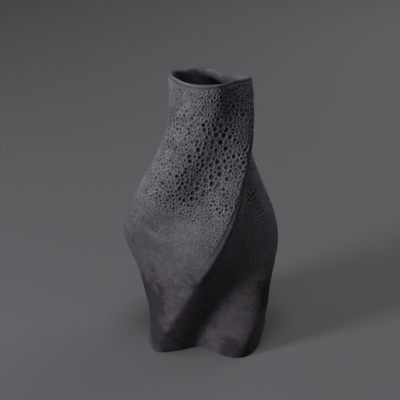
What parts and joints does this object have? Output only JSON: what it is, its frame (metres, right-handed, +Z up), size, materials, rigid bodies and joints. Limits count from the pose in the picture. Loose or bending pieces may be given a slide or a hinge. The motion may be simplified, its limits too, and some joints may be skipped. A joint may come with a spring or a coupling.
{
  "type": "stoneware vase",
  "caption": "Tall hand-built stoneware vase with a twisted lobed wall, a pinched open mouth and a crater glaze over the upper part.",
  "frame": {"origin": "middle of the vase's outline as seen from above, on the surface the vase stands on", "axes": "+Z up the vase from foot to mouth, -Y towards the side whose ridge crosses the front from lower left to upper right, +X to the right of that side"},
  "size_m": [0.184, 0.181, 0.32],
  "materials": {
    "bare_stoneware": "dry matt fired clay, charcoal with a purple-brown cast and smoky brushed patches",
    "liner_glaze": "thin smooth satin glaze",
    "crater_glaze": "dry grey blistered glaze with burst bubbles and pale crater rims"
  },
  "bodies": {
    "root": {"body_wall": "bare_stoneware", "base_slab": "bare_stoneware", "corner_coil": "bare_stoneware", "liner_glaze": "liner_glaze", "crater_glaze": "crater_glaze"}
  },
  "joints": []
}
